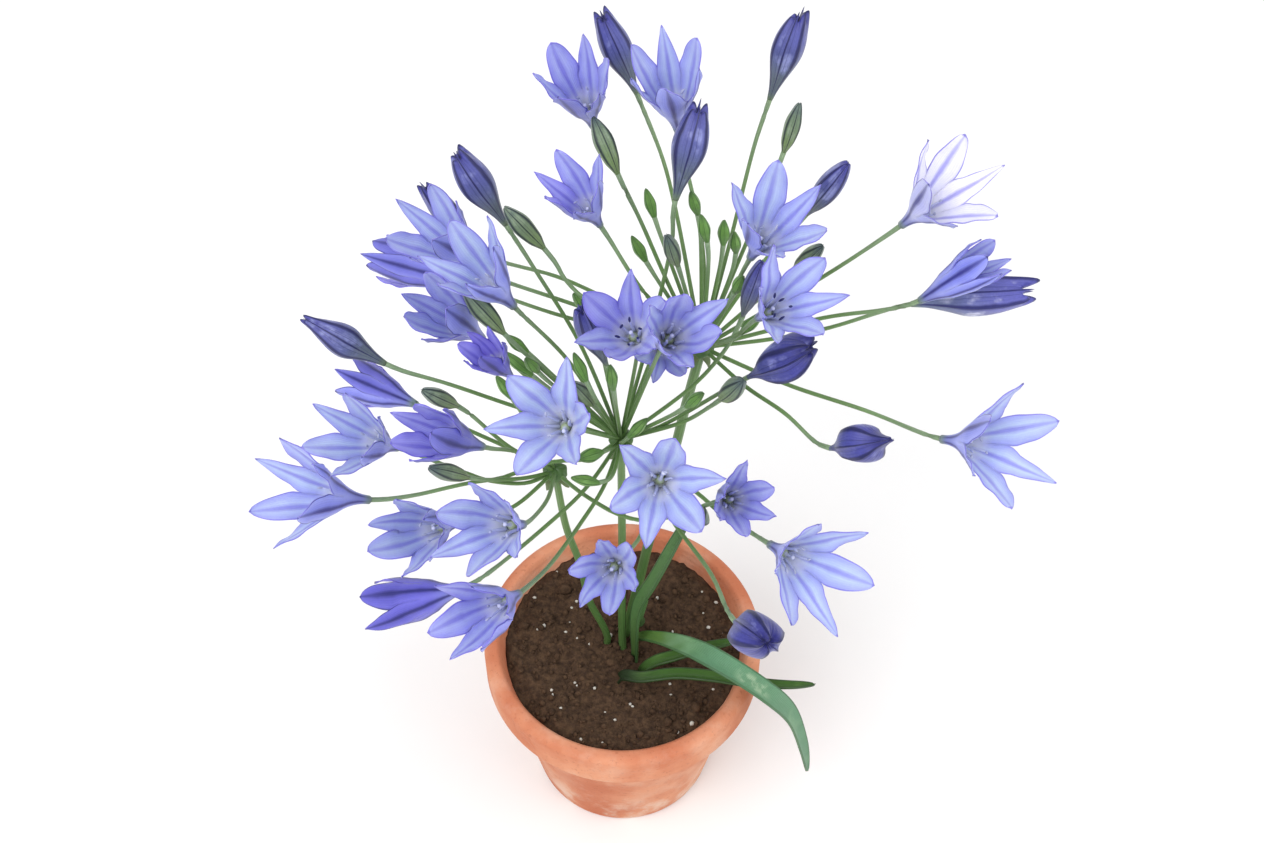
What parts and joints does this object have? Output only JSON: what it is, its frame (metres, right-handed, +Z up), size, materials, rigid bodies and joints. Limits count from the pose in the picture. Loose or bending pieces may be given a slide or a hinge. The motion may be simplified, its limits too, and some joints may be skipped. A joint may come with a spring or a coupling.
{
  "type": "potted ithuriels spear",
  "caption": "Potted Ithuriel's spear: umbels of blue-violet funnel flowers and ribbed buds on upright stalks, with strap leaves, in a plain clay pot.",
  "frame": {"origin": "middle of the pot's flat underside", "axes": "+Z up along the flower stalks, -Y towards the viewer of the picture, +X to that viewer's right"},
  "size_m": [0.2438, 0.1897, 0.3261],
  "materials": {
    "clay": "matte",
    "soil": "matte",
    "corm": "matte",
    "stalk": "satin",
    "petal": "matte",
    "deep_petal": "matte",
    "bud": "satin",
    "leaf": "satin",
    "dark_leaf": "satin"
  },
  "bodies": {
    "root": {"pot": "clay", "soil": "soil", "corm_middle": "corm", "corm_left": "corm", "corm_right": "corm", "stalk_middle": "stalk", "stalk_left": "stalk", "stalk_right": "stalk", "bloom_middle_1": "petal", "bloom_middle_2": "deep_petal", "bloom_middle_3": "petal", "bloom_middle_4": "petal", "bloom_middle_5": "petal", "bloom_middle_6": "petal", "bloom_middle_7": "petal", "bloom_middle_8": "petal", "bloom_middle_9": "petal", "bloom_middle_10": "deep_petal", "bloom_middle_11": "petal", "bloom_middle_12": "petal", "bloom_left_1": "deep_petal", "bloom_left_2": "petal", "bloom_left_3": "deep_petal", "bloom_left_4": "petal", "bloom_left_5": "petal", "bloom_left_6": "petal", "bloom_left_7": "deep_petal", "bloom_right_1": "petal", "bloom_right_2": "petal", "bloom_right_3": "petal", "bloom_right_4": "deep_petal", "bloom_right_5": "petal", "bloom_right_6": "petal", "bloom_right_7": "petal", "bloom_right_8": "petal", "bloom_right_9": "deep_petal", "bloom_right_10": "petal", "bud_middle_1": "bud", "bud_middle_2": "bud", "bud_middle_3": "bud", "bud_middle_4": "bud", "bud_middle_5": "bud", "bud_middle_6": "bud", "bud_middle_7": "bud", "bud_right_1": "bud", "bud_right_2": "bud", "bud_right_3": "bud", "bud_right_4": "bud", "bud_right_5": "bud", "bud_right_6": "bud", "leaf_broad": "leaf", "leaf_trailing": "dark_leaf", "leaf_short": "dark_leaf", "leaf_upright": "dark_leaf", "leaf_slender": "dark_leaf"}
  },
  "joints": []
}
